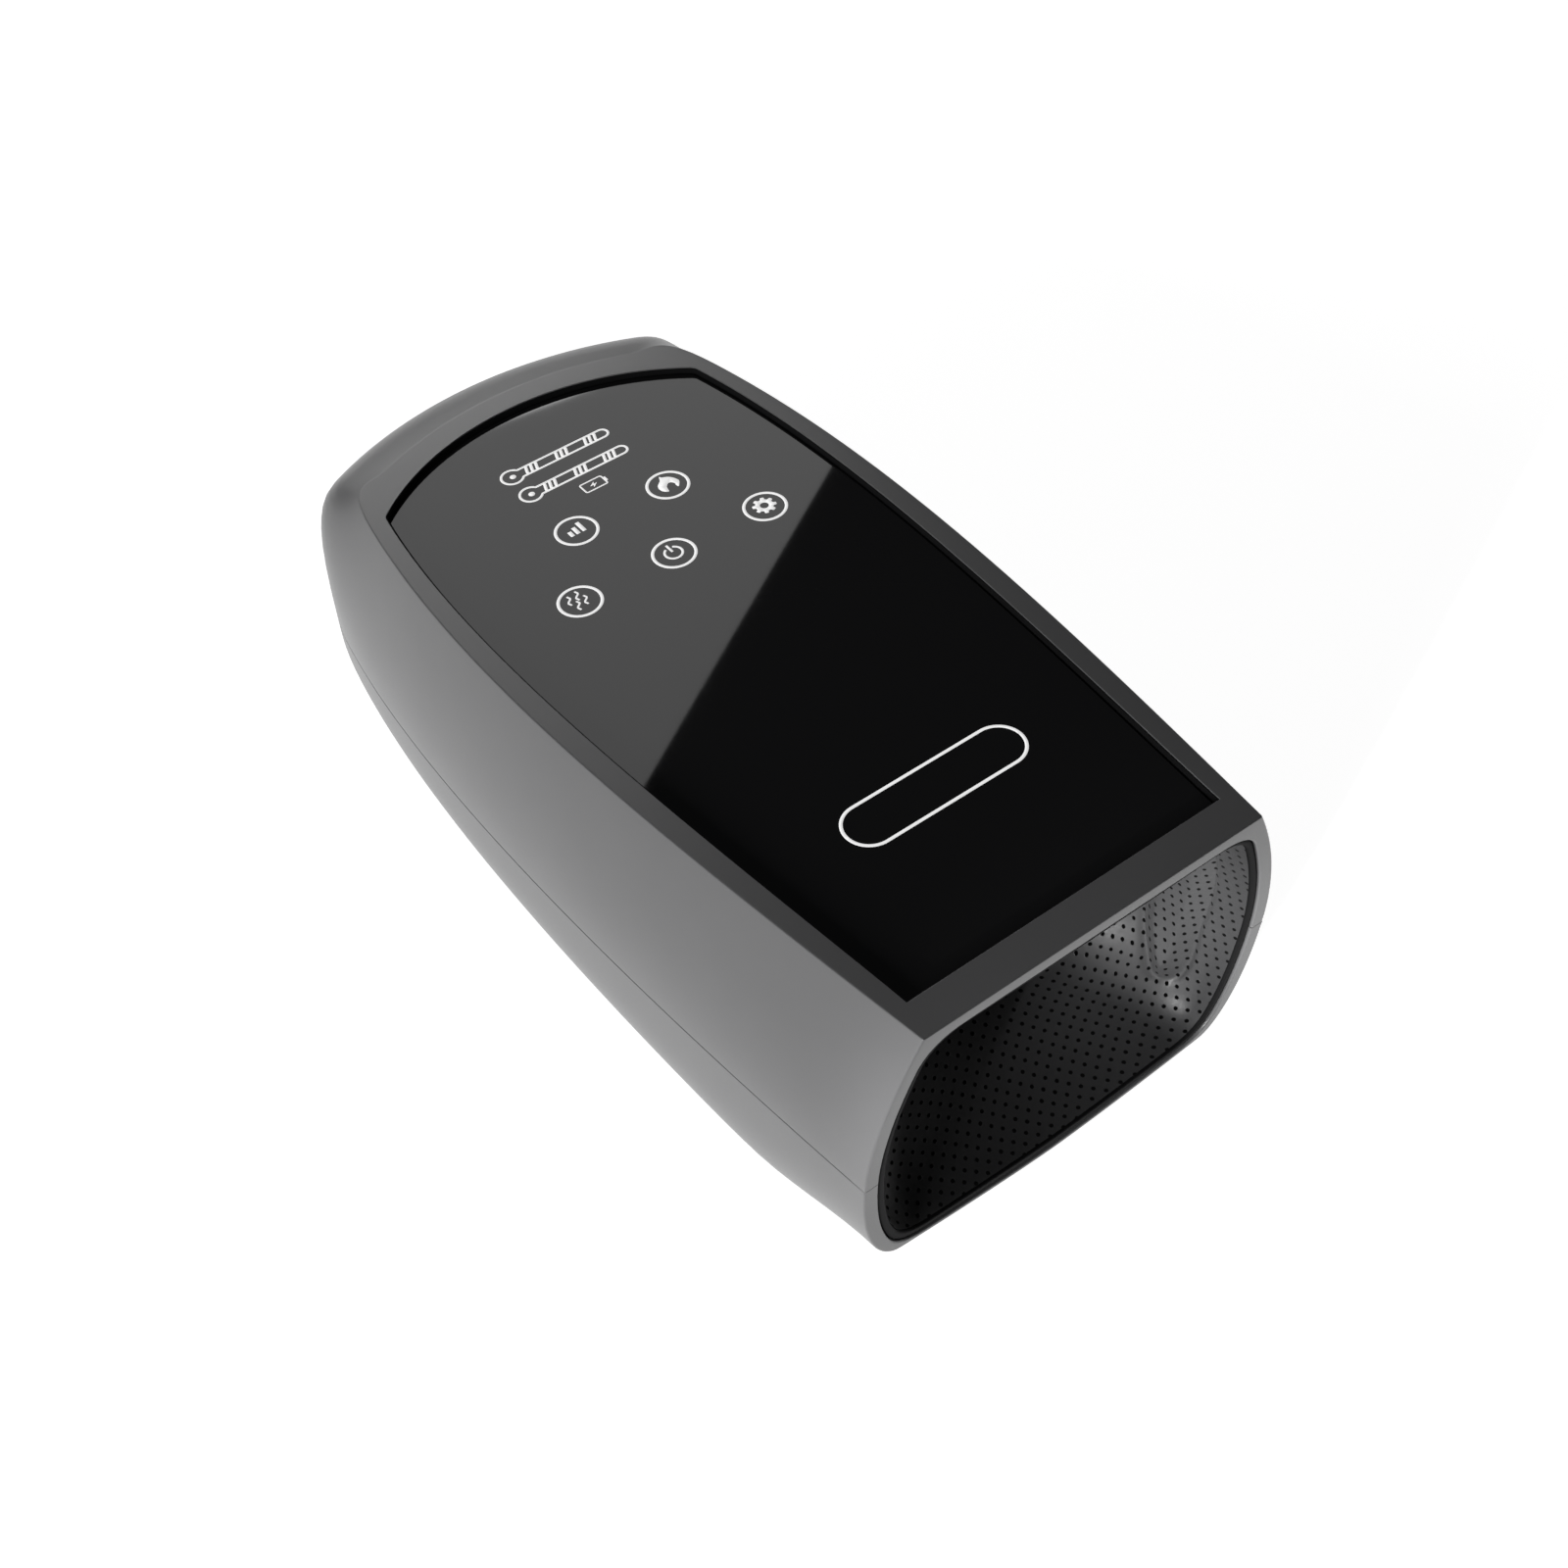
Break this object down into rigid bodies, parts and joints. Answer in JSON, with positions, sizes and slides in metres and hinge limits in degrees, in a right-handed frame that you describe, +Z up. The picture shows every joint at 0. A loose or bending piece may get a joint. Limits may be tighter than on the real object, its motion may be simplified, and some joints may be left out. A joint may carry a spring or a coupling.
{
  "type": "hand massager",
  "caption": "Free-standing hand massager: wedge-shaped satin housing with a wide front hand opening, a cushioned perforated liner and a sloping glossy touch panel.",
  "frame": {"origin": "on the floor, below the middle of the bounding box", "axes": "+Z up, +Y from the hand opening towards the rear, +X to the right of a person who faces the opening's front"},
  "size_m": [0.16, 0.299, 0.119],
  "materials": {
    "bag_film": "welded plastic film",
    "board_green": "circuit board lacquer",
    "brass": "plain brass",
    "cell_sleeve": "shrink sleeve over a steel can",
    "dark_plastic": "black moulded plastic",
    "guide_white": "white light-guiding plastic",
    "heater_film": "amber heating film",
    "hose_silicone": "translucent silicone",
    "housing_plastic": "fine satin moulded ABS",
    "inner_plastic": "plain moulded inner plastic",
    "liner_leather": "black perforated synthetic leather",
    "panel_gloss": "polished black cover sheet with white printed icons",
    "rubber": "matt rubber",
    "steel": "plain steel"
  },
  "bodies": {
    "massager_body": {"air_manifold": "inner_plastic", "battery_cell_1": "cell_sleeve", "battery_cell_2": "cell_sleeve", "battery_holder": "inner_plastic", "battery_lid": "inner_plastic", "charge_socket": "dark_plastic", "control_board": "board_green", "housing_screw_1": "steel", "housing_screw_2": "steel", "housing_screw_3": "steel", "housing_screw_4": "steel", "left_airbag": "bag_film", "left_hose": "hose_silicone", "light_guide": "guide_white", "liner": "liner_leather", "liner_frame": "dark_plastic", "lower_airbag": "bag_film", "lower_heater": "heater_film", "lower_hose": "hose_silicone", "lower_shell": "housing_plastic", "lower_tray": "inner_plastic", "motor_clip": "inner_plastic", "panel_tape": "dark_plastic", "pump_cradle": "rubber", "pump_head": "inner_plastic", "pump_hose": "hose_silicone", "pump_motor": "steel", "right_airbag": "bag_film", "right_hose": "hose_silicone", "rubber_foot_1": "rubber", "rubber_foot_2": "rubber", "rubber_foot_3": "rubber", "rubber_foot_4": "rubber", "touch_board": "board_green", "touch_panel": "panel_gloss", "upper_airbag": "bag_film", "upper_heater": "heater_film", "upper_hose": "hose_silicone", "upper_shell": "housing_plastic", "upper_tray": "inner_plastic", "valve_body_1": "steel", "valve_body_2": "steel", "valve_body_3": "steel", "vibration_motor": "steel"},
    "pump_rotor": {"pump_rotor": "steel"},
    "vibration_weight": {"vibration_weight": "brass"},
    "valve_plunger_1": {"valve_plunger_1": "steel"},
    "valve_plunger_2": {"valve_plunger_2": "steel"},
    "valve_plunger_3": {"valve_plunger_3": "steel"}
  },
  "joints": [
    {"name": "pump_spin", "type": "hinge", "parent": "massager_body", "child": "pump_rotor", "pos_m": [0, 0.0793, 0.0458], "axis": [1, 0, 0], "continuous": true},
    {"name": "vibration_spin", "type": "hinge", "parent": "massager_body", "child": "vibration_weight", "pos_m": [0.06169, -0.029, 0.03669], "axis": [0, 1, 0], "continuous": true},
    {"name": "valve_1_travel", "type": "slide", "parent": "massager_body", "child": "valve_plunger_1", "axis": [0, 0, -1], "range_m": [0, 0.0015], "stiffness_N_per_m": 200},
    {"name": "valve_2_travel", "type": "slide", "parent": "massager_body", "child": "valve_plunger_2", "axis": [0, 0, -1], "range_m": [0, 0.0015], "stiffness_N_per_m": 200},
    {"name": "valve_3_travel", "type": "slide", "parent": "massager_body", "child": "valve_plunger_3", "axis": [0, 0, -1], "range_m": [0, 0.0015], "stiffness_N_per_m": 200}
  ]
}
